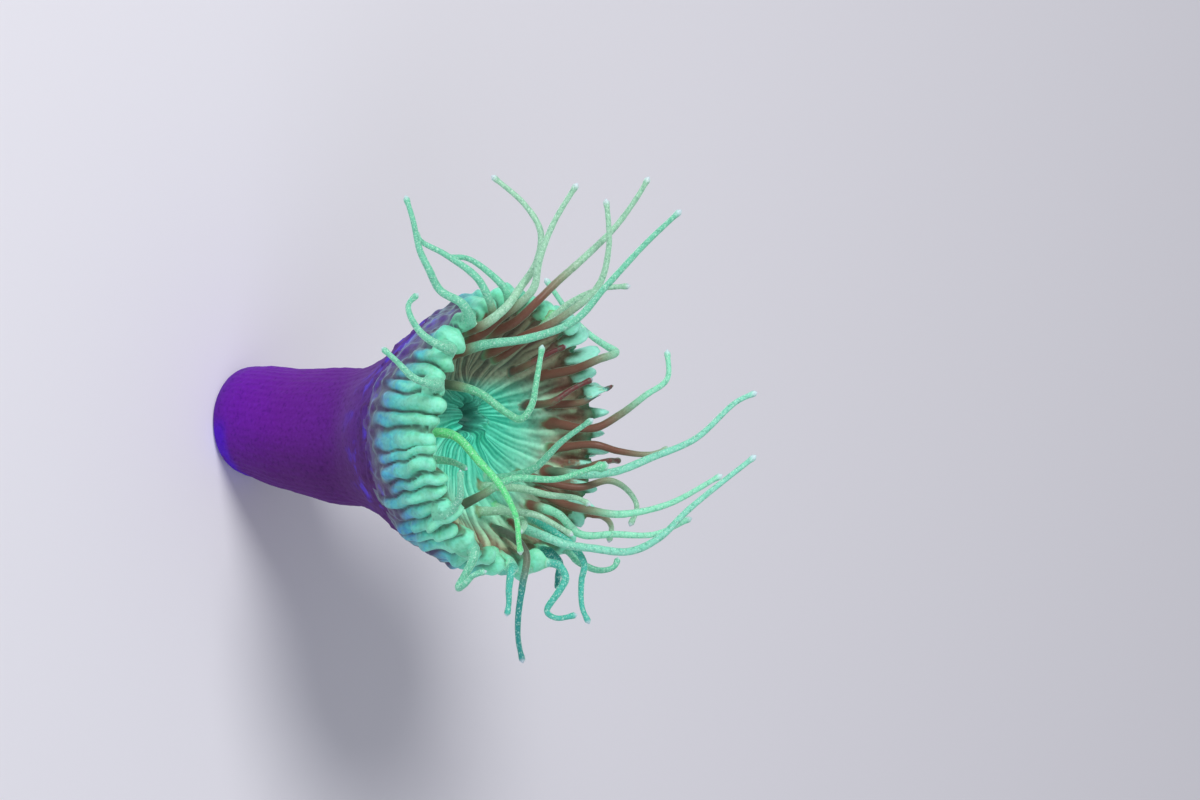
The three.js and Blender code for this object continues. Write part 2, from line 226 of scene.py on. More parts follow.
def swell_lobes(spot):
    """The collar's move at a spot, how far up a lobe that is from 0 to 1, and where the lobe starts."""
    from_near = math.radians(spot.degrees - NEAR_SIDE)
    fan = FAN * math.sin(1.5 * from_near) * math.exp(-((from_near / FAN_SPREAD) ** 2))
    below_crest = min(max((CREST - spot.place) / 0.5, 0.0), 1.2)
    bends = 0.02 * wobble(spot.height / 5, 5.0 + spot.angle) + 0.035 * wobble(spot.height / 8, spot.angle * 4)
    number, across, width = lobe_at(spot.angle - fan * below_crest + bends)
    seed = number * 7.31
    high = high_side(spot.degrees)
    far = far_side(spot.degrees)

    # Each lobe starts and ends at its own place, and is a row of two or three beads grown together.
    start = LOBE_START + 0.34 * high + 0.22 * wobble(seed, 1.5)
    end = LOBE_END + 0.16 * wobble(seed, 4.5)
    along = smooth(start - 0.05, start + 0.22, spot.place) ** 0.7 * rounded((end - spot.place) / 0.08)
    slim = mix(0.96, 0.5, far)
    bead = max(0.0, 1 - (across / slim) ** 2) ** mix(0.72, 0.55, far)
    bead_length = 30 + 12 * wobble(seed, 3.5)
    beads = (0.82 + 0.22 * math.cos((spot.place - CREST) * bead_length + 6.0 * wobble(seed, 6.5))
             + 0.35 * wobble(seed, spot.place * 7)
             + 0.3 * wobble(across * 1.3 + seed, spot.place * 5 + 0.5))
    rise = min(LOBE_RISE * width * COLLAR_RADIUS * 0.5, MOST_RISE)
    rise *= (1 + 0.7 * wobble(seed, 8.5)) * (1 + 0.5 * far)
    crease = smooth(start, start + 0.2, spot.place) * (1 - smooth(end - 0.02, end + 0.08, spot.place))
    move = spot.out * rise * (along * bead * beads * BEAD_SIZE - CREASE_DEPTH * crease)

    # Over the crest the lobes stand at different heights and lean in, out and aside.
    crest = smooth(COLLAR + 0.45, CREST, spot.place) * (1 - smooth(CREST, DISC + 0.2, spot.place))
    move.z += crest * (3.0 * wobble(seed, 2.5) + wobble(spot.angle * 1.1, 3.3) + 1.2 * far * bead)
    move += crest * 1.6 * (spot.outward * wobble(seed, 9.5) + spot.aside * wobble(seed, 12.5))
    dented = smooth(CROWN + 0.2, CROWN + 0.9, spot.place)
    dented *= 1 - smooth(COLLAR + 0.3, COLLAR + 0.8, spot.place)
    move -= spot.outward * DENT * high * dented
    return move, along * bead, start


def texture_wall(spot, lobe_start):
    """The move of a spot on the outside for the lines, the wrinkles and the warts."""
    x, y, height = spot.x, spot.y, spot.height
    lined = smooth(FOOT, COLUMN, spot.place) * (1 - smooth(CROWN + 0.4, COLLAR, spot.place))
    line = math.cos(COLUMN_LINES * spot.angle + 1.5 * wobble(height / 14, spot.angle))
    wrinkled = smooth(SOLE + 0.95, FOOT + 0.4, spot.place)
    wrinkled *= 1 - smooth(lobe_start - 0.2, lobe_start, spot.place)
    rings, swellings, grain = WRINKLES
    wrinkle = (rings * wobble(spot.angle * 2.2, height / 2.6, 1.0)
               + swellings * wobble(x / 11, y / 11, height / 15)
               + grain * wobble(x / 1.7, y / 1.7, height / 1.7))
    warty = smooth(CROWN + 0.6, COLLAR + 0.1, spot.place)
    warty *= 1 - smooth(lobe_start, lobe_start + 0.3, spot.place)
    wart = WART_HEIGHT * max(0.0, wobble(x / 3.6, y / 3.6, height / 3.6)) - WART_SINK
    return spot.out * (lined * LINE_HEIGHT * line + wrinkled * wrinkle + warty * wart)


def ridge_disc(spot):
    """The move of a spot on the disc for the ridges from the mouth to the rim, and how high it is on one."""
    radius, angle = spot.radius, spot.angle
    coarse = math.cos(RIDGES * 0.5 * angle + 3.0 * wobble(radius / 9, angle * 2))
    sway = 2.6 * wobble(radius / 8, angle * 2) + 1.6 * wobble(radius / 4, angle * 9)
    wave = mix(math.cos(RIDGES * angle + sway), coarse, 0.5 + 0.5 * wobble(angle * 4, 7.0))
    wave *= 0.75 + 0.6 * wobble(radius / 6, angle * 5)
    wave += 0.55 * wobble(angle * 9, 2.2 + radius / 40)
    ridged = smooth(CREST + 0.05, DISC + 0.02, spot.place) * (1 - smooth(LIPS + 0.3, LIPS + 0.5, spot.place))
    at_mouth, over_disc, near_rim = RIDGE_HEIGHTS
    size = at_mouth + over_disc * smooth(6, 26, radius) + near_rim * smooth(26, 33, radius)
    swelling = 0.7 * wobble(spot.x / 5, spot.y / 5, 4.0)
    return Vector((0, 0, ridged * (size * wave + swelling))), 0.5 + 0.42 * wave * ridged


def fold_lips(spot):
    """The move of a spot on the lips, which lie in soft folds round the mouth."""
    folded = smooth(DISC + 0.55, LIPS + 0.2, spot.place) * (1 - smooth(LIPS + 0.72, LIPS + 0.95, spot.place))
    fold = math.cos(LIP_FOLDS * spot.angle + 3.5 * wobble(*(spot.outward * 1.4)))
    rise = 1.1 * fold + 2.2 * wobble(*(spot.outward * 1.9 + Vector((3, 1, 2))))
    out = 0.5 * math.cos(LIP_FOLDS * spot.angle + 2.2) + 1.5 * wobble(*(spot.outward * 1.6))
    return folded * (Vector((0, 0, rise)) + spot.outward * out)


def painted_place(place, lobe_start):
    """The place as the paint takes it: where the lobes start counts as the same place all round."""
    if not COLLAR < place < CREST:
        return place
    if place < lobe_start:
        return mix(COLLAR, COLLAR + PAINTED_START, (place - COLLAR) / (lobe_start - COLLAR))
    return mix(COLLAR + PAINTED_START, CREST, (place - lobe_start) / (CREST - lobe_start))


moved = []
for corner in body.verts:
    spot = spot_of(corner)
    lobe_move, lobe, lobe_start = swell_lobes(spot)
    ridge_move, ridge = ridge_disc(spot)
    moved.append((lobe_move + texture_wall(spot, lobe_start) + ridge_move + fold_lips(spot), spot.place))
    corner[place_layer] = painted_place(spot.place, lobe_start)
    corner[lobe_layer] = lobe
    corner[ridge_layer] = ridge
for corner, (move, place) in zip(body.verts, moved):
    corner.co += move
    corner.co.y *= 1 - MOUTH_NARROWING * smooth(DISC + 0.6, LIPS + 0.5, place)
    corner.co.x -= MOUTH_SHIFT * smooth(DISC + 0.3, LIPS + 0.3, place)
    corner.co.x += axis_shift(corner.co.z)


# ---------------------------------------------------------------------------------------------
# Tentacles: forty tapering tubes of thin, nearly clear flesh, each ending in a small pale knob. The
# inner ones grow from the disc and the outer ones from the lobes of the collar, into which they
# widen. They are drawn out ring by ring along curves, in mm.
RINGS = {  # radius and height of the roots
    "inner": (17, 89.3), "middle": (24, 92.8), "third": (30, 97.2), "outer": (36, 102.7),
    "crest": (40.5, 107.1)}
ROOT_RADIUS = 1.75
SHAFT_RADIUS = 1.25
NECK_RADIUS = 0.78
KNOB_RADIUS = 0.98
SWOLLEN_TIP = 29  # number of the tentacle whose tip is a lumpy knob
SWOLLEN_RADIUS = 1.6
KNOB_START = 3.3  # how far below the tip a knob begins to swell, in its own radii
KNOB_FULL = 1.7  # and how far below it is at its widest
ROOT_DEPTH = 5.0
LOBE_FLARE = 0.9  # how much wider a tentacle is at its root where it grows from a lobe
DISC_FLARE = 0.3  # and where it grows from the disc
FLARE_LENGTH = 1.8
RING_STEP = 0.95
SIDES = 12

# Tones: for each the number that the skin notes, the colour of the flesh, and that of a darker base.
TONES = {
    "mint": (0.0, "#70C0A0", "#6C4336"),
    "olive": (0.05, "#6DC59A", "#465C48"),
    "lime": (0.2, "#62D486", "#4F8A62"),
    "pale": (0.4, "#96C4A6", "#72443A"),
    "light": (0.5, "#8EDCBA", "#72443A"),
    "aqua": (0.6, "#84D2B8", "#55705A"),
    "teal": (0.7, "#4CB4A2", "#526252"),
    "deep": (0.8, "#2A8480", "#4E524A"),
    "wine": (1.0, "#6B3C3C", "#6A443C"),
}

# Each tentacle: its ring, its angle from +X towards +Y in degrees, its tone, how far up from the
# root it is brown, and its way up and out.
TENTACLES = [
    ("crest", 216, "mint", 0, [(-35, -29, 109), (-39, -32, 103), (-45, -36, 102),
        (-51, -38, 100), (-60, -40, 99), (-67, -41, 97)]),
    ("outer", 203, "mint", 13, [(-32, -15, 109), (-37, -18, 110), (-43, -21, 108),
        (-50, -25, 99), (-54, -29, 93), (-57, -29, 91)]),
    ("outer", 193, "mint", 13, [(-34, -9, 110), (-39, -12, 112), (-44, -14, 108),
        (-49, -16, 100), (-49, -19, 95)]),
    ("outer", 210, "pale", 12, [(-29, -20, 110), (-34, -16, 115), (-40, -9, 115), (-48, -2, 116),
        (-57, 1, 115), (-65, 0, 110), (-74, -5, 101)]),
    ("third", 205, "pale", 24, [(-27, -12, 104), (-31, -11, 109), (-35, -11, 116), (-40, -10, 121),
        (-48, -10, 123), (-59, -7, 126), (-71, -3, 132)]),
    ("middle", 172, "pale", 30, [(-26, 5, 106), (-31, 9, 116), (-41, 14, 127),
        (-52, 15, 130), (-59, 15, 130), (-67, 15, 129)]),
    ("third", 181, "pale", 32, [(-30, 0, 106), (-36, 3, 112), (-42, 9, 115), (-50, 17, 120),
        (-59, 24, 126), (-69, 28, 132), (-74, 30, 134)]),
    ("third", 219, "mint", 12, [(-23, -19, 109), (-25, -13, 122), (-30, -6, 133),
        (-40, 0, 140), (-53, 8, 149), (-63, 15, 157)]),
    ("middle", 160, "pale", 18, [(-27, 11, 105), (-36, 16, 115), (-40, 21, 122), (-41, 26, 130)]),
    ("third", 125, "light", 24, [(-16, 27, 108), (-19, 30, 115), (-21, 36, 117), (-23, 38, 112),
        (-26, 40, 105), (-31, 39, 99), (-44, 33, 92)]),
    ("middle", 233, "olive", 12, [(-9, -18, 106), (-3, -16, 115), (-1, -16, 121),
        (-5, -15, 124), (-12, -14, 125), (-23, -11, 125)]),
    ("third", 66, "aqua", 12, [(16, 28, 113), (15, 31, 121), (11, 36, 130),
        (5, 43, 142), (-6, 50, 152), (-9, 54, 157)]),
    ("third", 95, "light", 28, [(2, 34, 110), (-2, 39, 116), (-8, 43, 123), (-13, 46, 129), (-22, 46, 129)]),
    ("third", 20, "aqua", 8, [(34, 11, 107), (37, 15, 114), (38, 18, 121), (39, 24, 131),
        (35, 28, 139), (26, 33, 147), (10, 45, 163)]),
    ("third", 41, "light", 8, [(28, 20, 107), (34, 22, 114), (34, 27, 123), (34, 34, 133), (29, 41, 142)]),
    ("middle", 56, "pale", 30, [(20, 28.5, 108), (18, 37, 114), (21, 42, 117), (26, 44, 119), (32, 43, 117)]),
    ("outer", 50, "pale", 22, [(28, 29, 112), (29, 35, 113), (32, 39, 113), (37, 39, 112)]),
    ("crest", 33, "mint", 0, [(42, 23, 112), (45, 27, 117), (44, 31, 120), (41, 32, 121)]),
    ("inner", 30, "mint", 4, [(14, 8, 107), (6, 10, 116), (-1, 14, 125)]),
    ("third", 270, "lime", 5, [(4, -29, 106), (12, -28, 115), (19, -27, 122),
        (28, -25, 126), (35, -25, 127), (39, -24, 127)]),
    ("third", 5, "deep", 24, [(35, 0, 106), (40, -2, 112), (49, -4, 112),
        (58, -6, 112), (65, -6, 112), (72, -5, 113)]),
    ("crest", 356, "teal", 0, [(45, -7, 110), (50, -8, 110), (54, -8, 110), (58, -9, 110)]),
    ("crest", 328, "mint", 0, [(41, -23, 108), (49, -26, 105), (48, -28, 109),
        (45, -27, 112), (44, -25, 115)]),
    ("crest", 23, "deep", 0, [(43, 17, 110), (47, 16, 110), (51, 16, 110)]),
    ("crest", 13, "teal", 0, [(43, 12, 113), (47, 12, 116), (51, 10, 115),
        (57, 8, 112), (59, 10, 114), (58, 14, 119)]),
    ("third", 32, "teal", 6, [(32, 16, 106), (38, 19, 114), (43, 20, 117),
        (48, 20, 116), (56, 19, 117), (61, 20, 119)]),
    ("crest", 233, "mint", 0, [(-22, -38, 109), (-26, -43, 105), (-32, -44, 101),
        (-35, -43, 100), (-38, -41, 102)]),
    ("crest", 250, "mint", 0, [(-11, -43, 109), (-13, -48, 106), (-18, -50, 101), (-22, -52, 97)]),
    ("third", 320, "olive", 16, [(22, -17, 106), (17, -12, 114), (17, 0, 122), (14, 10, 127), (13, 15, 130)]),
    ("third", 80, "pale", 34, [(7, 34, 110), (9, 40, 115), (10, 48, 121), (8, 53, 125)]),
    ("third", 52, "light", 24, [(25, 23, 107), (27, 26, 116), (28, 30, 123), (25, 38, 135), (16, 47, 149)]),
    ("inner", 12, "pale", 6, [(20, 6, 103), (22, 9, 112), (23, 13, 120), (25, 14, 124)]),
    ("middle", 355, "pale", 6, [(27, 1, 106), (28, 3, 112), (31, 6, 117), (34, 8, 122)]),
    ("middle", 18, "pale", 3, [(29, 6, 103), (31, 1, 109), (33, -4, 111)]),
    ("third", 106, "wine", 14, [(-6, 32, 107), (-9, 36, 111), (-11, 40, 113)]),
    ("middle", 110, "wine", 14, [(-6, 21, 104), (-10, 26, 108), (-13, 31, 112)]),
    ("outer", 70, "wine", 12, [(13, 34, 111), (12, 39, 112), (12, 46, 111)]),
    ("middle", 140, "wine", 12, [(-18, 14, 102), (-21, 19, 105), (-23, 23, 108)]),
    ("crest", 305, "mint", 0, [(22, -34, 112), (18, -35, 113), (14, -35, 113)]),
    ("middle", 290, "mint", 0, [(12, -23, 101), (14, -23, 106)]),
]


def thickness(number, ring, walked, length):
    """Radius of a tentacle this far along it: wide at the root, a thin neck and a rounded knob."""
    share = walked / length
    thick = mix(mix(ROOT_RADIUS, SHAFT_RADIUS, smooth(0, 0.35, share)), NECK_RADIUS, smooth(0.3, 1, share))
    flare = LOBE_FLARE if ring in ("crest", "outer") else DISC_FLARE
    thick *= 1 + flare * math.exp(-max(walked - ROOT_DEPTH, 0) / FLARE_LENGTH)
    thick *= 1 + 0.07 * wobble(walked / 2.3, number * 3.7, 0.0)
    left = length - walked
    swollen = number == SWOLLEN_TIP
    knob = SWOLLEN_RADIUS if swollen else KNOB_RADIUS
    if left < KNOB_START * knob:
        lumps = 1 + 0.25 * wobble(walked / 1.1, number * 2.3, 0.0) if swollen else 1
        thick = mix(thick, knob * lumps, smooth(KNOB_START * knob, KNOB_FULL * knob, left))
    if left < knob:
        thick *= math.sqrt(max(1 - (1 - left / knob) ** 2, 0.04))
    return thick


def grow_tentacle(number, ring, way, length, notes):
    """A closed tube of rings along the way. Notes are its values for the skin's layers, but for its share."""
    tube = bmesh.new()
    layers = {name: tube.verts.layers.float.new(name) for name in LAYERS}
    across = Vector((1, 0, 0))
    cap = None
    for i, spot in enumerate(way):
        walked = length * i / (len(way) - 1)
        heading = (way[min(i + 1, len(way) - 1)] - way[max(i - 1, 0)]).normalized()
        across = (across - heading * across.dot(heading)).normalized()
        aside = heading.cross(across)
        thick = thickness(number, ring, walked, length)
        if cap is None:
            made = bmesh.ops.create_circle(tube, cap_ends=True, radius=1.0, segments=SIDES)
            cap = made["verts"][0].link_faces[0]
        else:
            cap = bmesh.ops.extrude_discrete_faces(tube, faces=[cap])["faces"][0]
        for k, corner in enumerate(cap.verts):
            turn = math.tau * k / SIDES
            corner.co = spot + (across * math.cos(turn) + aside * math.sin(turn)) * thick
            for name, value in notes.items():
                corner[layers[name]] = value
            corner[layers["share"]] = walked / length
    bmesh.ops.holes_fill(tube, edges=[edge for edge in tube.edges if edge.is_boundary], sides=0)
    bmesh.ops.recalc_face_normals(tube, faces=tube.faces)
    return tube


surface = KDTree(len(body.verts))
for i, corner in enumerate(body.verts):
    surface.insert(corner.co, i)
surface.balance()
body.verts.ensure_lookup_table()

arms = bmesh.new()
for name in LAYERS:
    arms.verts.layers.float.new(name)
for number, (ring, degrees, tone, brown, points) in enumerate(TENTACLES, 1):
    radius, height = RINGS[ring]
    angle = math.radians(degrees)
    root = Vector((CROWN_SHIFT + radius * math.cos(angle), radius * math.sin(angle), height))
    way, length = smooth_way([root - Vector((0, 0, ROOT_DEPTH)), root, *map(Vector, points)], RING_STEP)
    under = body.verts[surface.find(root)[1]]
    notes = {name: under[body.verts.layers.float[name]] for name in ("place", "lobe", "ridge")}
    notes |= {"tentacle": 1.0, "brown": brown / length, "tone": TONES[tone][0]}
    tube = grow_tentacle(number, ring, way, length, notes)
    piece = bpy.data.meshes.new("tube")
    tube.to_mesh(piece)
    tube.free()
    arms.from_mesh(piece)
    bpy.data.meshes.remove(piece)


# ---------------------------------------------------------------------------------------------
# Skin: body and tentacles are one living tissue, so here they are grown together and the joins
# smoothed as flesh is. It is soft, satin rather than glossy, lets some light under its surface, and
# is fluorescent; that glow is painted light, a little light that the flesh gives off in its own colour.
MM = 0.001
JOIN_RINGS = 3  # rings of corners on either side of a join that are smoothed
JOIN_PASSES = 5
STAIN_RINGS = 2  # rings beyond those over which the colours run into each other
STAIN_PASSES = 8
STAIN_SHARE = 0.6


def object_of(shape, name):
    mesh = bpy.data.meshes.new(name)
    shape.to_mesh(mesh)
    shape.free()
    made = bpy.data.objects.new(name, mesh)
    scene.collection.objects.link(made)
    return made


def with_neighbours(corners, rings):
    corners = set(corners)
    for _ in range(rings):
        corners |= {edge.other_vert(corner) for corner in corners for edge in corner.link_edges}
    return corners


# The union makes new corners along the joins. Each takes its notes from the nearest old one.
known = []
for shape in (body, arms):
    layers = [shape.verts.layers.float[name] for name in LAYERS]
    known += [(corner.co.copy(), [corner[layer] for layer in layers]) for corner in shape.verts]
nearest = KDTree(len(known))
for i, (spot, _) in enumerate(known):
    nearest.insert(spot, i)
nearest.balance()

skin = object_of(body, "anemone_skin")
grown = object_of(arms, "tentacles")
union = skin.modifiers.new("grown together", "BOOLEAN")
union.operation = "UNION"
union.solver = "MANIFOLD"
union.object = grown
depsgraph = bpy.context.evaluated_depsgraph_get()
joined = bpy.data.meshes.new_from_object(skin.evaluated_get(depsgraph))
skin.modifiers.clear()
skin.data = joined
bpy.data.objects.remove(grown)

tissue = bmesh.new()
tissue.from_mesh(joined)
layers = [tissue.verts.layers.float.get(name) or tissue.verts.layers.float.new(name) for name in LAYERS]
for corner in tissue.verts:
    _, index, _ = nearest.find(corner.co)
    for layer, value in zip(layers, known[index][1]):
        corner[layer] = value

# A join is where a corner on a tentacle has a neighbour on the body.
tentacle_layer = layers[LAYERS.index("tentacle")]
at_join = [corner for corner in tissue.verts
           if any(abs(edge.other_vert(corner)[tentacle_layer] - corner[tentacle_layer]) > 0.5
                  for edge in corner.link_edges)]
join = with_neighbours(at_join, JOIN_RINGS)
for _ in range(JOIN_PASSES):
    bmesh.ops.smooth_vert(
        tissue, verts=list(join), factor=0.5, use_axis_x=True, use_axis_y=True, use_axis_z=True)
run_layers = [layer for layer, name in zip(layers, LAYERS) if name not in ("place", "lobe")]
stained = with_neighbours(join, STAIN_RINGS)
for _ in range(STAIN_PASSES):
    fresh = []
    for corner in stained:
        others = [edge.other_vert(corner) for edge in corner.link_edges]
        fresh.append((corner, [sum(other[layer] for other in others) / len(others) for layer in run_layers]))
    for corner, values in fresh:
        for layer, value in zip(run_layers, values):
            corner[layer] = mix(corner[layer], value, STAIN_SHARE)
bmesh.ops.scale(tissue, verts=tissue.verts, vec=(MM, MM, MM))
for face in tissue.faces:
    face.smooth = True
tissue.to_mesh(skin.data)
tissue.free()


def linear(code):
    """An sRGB hex colour as linear red, green, blue and alpha."""
    parts = [int(code[i:i + 2], 16) / 255 for i in (1, 3, 5)]
    return (*[p / 12.92 if p <= 0.04045 else ((p + 0.055) / 1.055) ** 2.4 for p in parts], 1.0)


def add(tree, kind, settings=(), links=()):
    """Adds a node, sets its properties, inputs and colour stops, and links sockets to its inputs."""
    node = tree.nodes.new(kind)
    for name, value in dict(settings).items():
        if name == "stops":
            bands = node.color_ramp.elements
            bands.remove(bands[1])
            for i, (position, code) in enumerate(value):
                band = bands[0] if i == 0 else bands.new(position)
                band.position = position
                band.color = linear(code)
        elif isinstance(name, int) or name in node.inputs:
            node.inputs[name].default_value = value
        else:
            setattr(node, name, value)
    for name, socket in dict(links).items():
        tree.links.new(socket, node.inputs[name])
    return node


def where(tree, most, *edges):
    """A mask from 0 to its most. Each edge is a pattern, where in it the mask is 0, and where it is full."""
    mask = None
    for pattern, empty, full in edges:
        edge = add(tree, "ShaderNodeMapRange", {
            "interpolation_type": "SMOOTHSTEP", "From Min": empty, "From Max": full,
            "To Max": most if mask is None else 1.0}, {"Value": pattern}).outputs["Result"]
        mask = edge if mask is None else add(
            tree, "ShaderNodeMath", {"operation": "MULTIPLY"}, {0: mask, 1: edge}).outputs[0]
    return mask


def coated(tree, paint, *coats, way="MIX"):
    """A paint with coats over it in turn, each a mask and a paint. A paint is a hex colour or a socket."""
    for mask, coat in coats:
        sides = {6: paint, 7: coat}
        plain = {i: linear(side) for i, side in sides.items() if isinstance(side, str)}
        mixed = {i: side for i, side in sides.items() if not isinstance(side, str)}
        paint = add(tree, "ShaderNodeMix", {"data_type": "RGBA", "blend_type": way, **plain},
                    {0: mask, **mixed}).outputs[2]
    return paint


def along_outline(tree, place, stops):
    """Colours along the outline, each at a place on it."""
    whole = len(OUTLINE_PARTS)
    share = add(tree, "ShaderNodeMath", {"operation": "DIVIDE", 1: whole}, {0: place}).outputs[0]
    stops = [(at / whole, code) for at, code in stops]
    return add(tree, "ShaderNodeValToRGB", {"stops": stops}, {"Fac": share}).outputs["Color"]


# Paints. A place is along the outline: the foot starts at 1, the column at 2, the crown at 3, the
# collar at 4, the disc at 5 and the lips at 6. East, north and height are a spot's own place in mm.
# Broad and patchy are blotches of about 7 and 3 mm, fine and speck are grain of about 1 and half a mm.
def column_paint(tree, place, east, north, height, broad, patchy):
    """Dark violet; plum on the side turned to +X as painted shade, a blue-violet patch of painted light on
    the foot, blue-violet spots below the collar.
    """
    violet = along_outline(tree, place, [
        (1.2, "#5A1E92"), (2.0, "#64189A"), (2.6, "#60188A"), (3.2, "#5A1F80"), (3.5, "#5C337E"),
        (3.8, "#54267C"), (4.1, "#4E2A78"), (4.4, "#503488")])
    # Painted shade: the side turned to +X is painted a darker plum.
    painted_shade_side = where(tree, 0.7, (east, -2.0, 20.0))
    # Painted light: a blue-violet patch low on the foot's near side, towards +X, stands in for blue light
    # falling there.
    painted_blue_light = where(
        tree, 0.75, (east, -3.0, 4.0), (north, 12.0, -2.0), (height, 8.0, 3.5), (broad, 0.35, 0.55))
    spots = where(tree, 0.85, (broad, 0.52, 0.64), (place, 3.4, 3.9))
    mottles = where(tree, 0.6, (patchy, 0.5, 0.36), (place, 3.7, 4.1))
    return coated(tree, violet, (painted_shade_side, "#451F50"), (painted_blue_light, "#4A16BC"), (spots, "#5038BC"),
                  (mottles, "#46244E"))


def collar_paint(tree, place, lobe, north, broad, patchy):
    """Lobes mint on the crest, turquoise and blue outwards, palest at +Y, with a painted highlight on their
    tops; creases between them dusky, partly painted shade.
    """
    bead = along_outline(tree, place, [
        (4.28, "#4E3C90"), (4.38, "#4A3CB0"), (4.48, "#4F84BC"), (4.60, "#50B4B8"), (4.69, "#62C8AC"),
        (4.80, "#7ADCBC"), (4.88, "#78D4AC"), (4.95, "#7FBE98")])
    # The creases' colours are partly the flesh's own dusky olive-brown and partly painted shade, darker than
    # the lobes.
    crease = along_outline(tree, place, [
        (4.30, "#4A2C5C"), (4.50, "#4C4A66"), (4.65, "#447062"), (4.82, "#4E8468"), (4.93, "#6A5E4C")])
    blue = where(tree, 0.7, (broad, 0.52, 0.64), (place, 4.74, 4.50))
    green = where(tree, 0.35, (patchy, 0.56, 0.42))
    # Painted highlight: the tops of the lobes are painted paler, where light catches them.
    painted_highlight = where(tree, 0.45, (lobe, 0.72, 1.15), (place, 4.56, 4.68))
    pale_side = where(tree, 0.6, (north, 16.0, 30.0), (place, 4.62, 4.78))
    between = where(tree, 1.0, (lobe, 0.70, 0.15))
    return coated(tree, bead, (blue, "#528CC8"), (green, "#6FBE82"), (painted_highlight, "#A4F0D2"),
                  (pale_side, "#A8E6DC"), (between, crease))


def disc_paint(tree, place, ridge, east, north):
    """Turquoise round the mouth and darker into it as painted shade; to -X a dark teal painted shade and then
    olive brown; pale ridges over darker furrows.
    """
    # Both ramps turn darker from about place 6.4 down into the mouth: painted shade in the throat.
    ridges = along_outline(tree, place, [
        (4.98, "#A6BE98"), (5.2, "#A6D6B4"), (5.5, "#94E4C6"), (5.8, "#70E2C2"), (6.15, "#5CE4C4"),
        (6.38, "#62DCBC"), (6.52, "#3C9480"), (6.7, "#3A7468")])
    furrows = along_outline(tree, place, [
        (4.98, "#74483E"), (5.15, "#6E5A4A"), (5.35, "#5E8A74"), (5.5, "#52A88E"), (5.8, "#30A68A"),
        (6.15, "#22A688"), (6.4, "#2C8C7A"), (6.55, "#2E6A5E"), (6.7, "#2C5A52")])
    on_ridge = where(tree, 1.0, (ridge, 0.2, 0.8))
    # Painted shade: dark teal, a little lighter on the ridges, painted over the disc's near side towards -X,
    # as the mouth's shadow side.
    teal = coated(tree, "#1F5A4C", (ridge, "#3C8674"))
    brown = coated(tree, "#54493D", (where(tree, 1.0, (ridge, 0.3, 0.8)), "#8C826A"))
    painted_near_shade = where(tree, 0.72, (east, 2.0, -3.0), (north, 12.0, 4.0))
    brown_side = where(tree, 0.85, (east, -7.0, -15.0), (place, 6.2, 5.8))
    rim = where(tree, 0.4, (north, 10.0, 24.0), (place, 5.22, 5.02), (ridge, 0.75, 0.35))
    return coated(tree, furrows, (on_ridge, ridges), (painted_near_shade, teal), (brown_side, brown), (rim, "#7A4A42"))


def tentacle_paint(tree, share, brown, tone, fine, speck):
    """The tentacle's tone, finely speckled and with painted glints, over a brown base that ends in olive,
    with a lilac white tip.
    """
    paint, base = (
        add(tree, "ShaderNodeValToRGB", {"stops": [(stop[0], stop[column]) for stop in TONES.values()]},
            {"Fac": tone}).outputs["Color"] for column in (1, 2))
    some = add(tree, "ShaderNodeMath", {"operation": "MAXIMUM", 1: 0.01}, {0: brown}).outputs[0]
    up_brown = add(tree, "ShaderNodeMath", {"operation": "DIVIDE"}, {0: share, 1: some}).outputs[0]
    any_brown = (brown, 0.02, 0.05)
    speckles = where(tree, 0.35, (fine, 0.5, 0.34))
    # Glints are painted highlights: pale specks that stand in for light catching the wet skin.
    glints = where(tree, 0.4, (speck, 0.52, 0.66), (tone, 0.95, 0.75), (share, 0.06, 0.2))
    olive = where(tree, 0.7, (up_brown, 1.45, 1.0), any_brown)
    deep = where(tree, 0.92, (up_brown, 1.2, 0.75), any_brown)
    tip = where(tree, 0.75, (share, 0.965, 1.0))
    return coated(tree, paint, (speckles, "#357C64"), (glints, "#D4F2E2"), (olive, "#7E785C"), (deep, base),
                  (tip, "#D4D8EA"))


PATTERNS = ((7.0, 3), (3.2, 3), (1.1, 4), (0.5, 2))  # size in mm and detail, from broad to speck
RAGGEDNESS = 0.24  # how far the paints' borders wander, in places along the outline
GRAIN_DEPTH = 0.4 * MM
WET_TISSUE_IOR = 1.38
# Painted glow: the flesh emits this much light in its own paint colour, for its fluorescence.
GLOW = 0.18


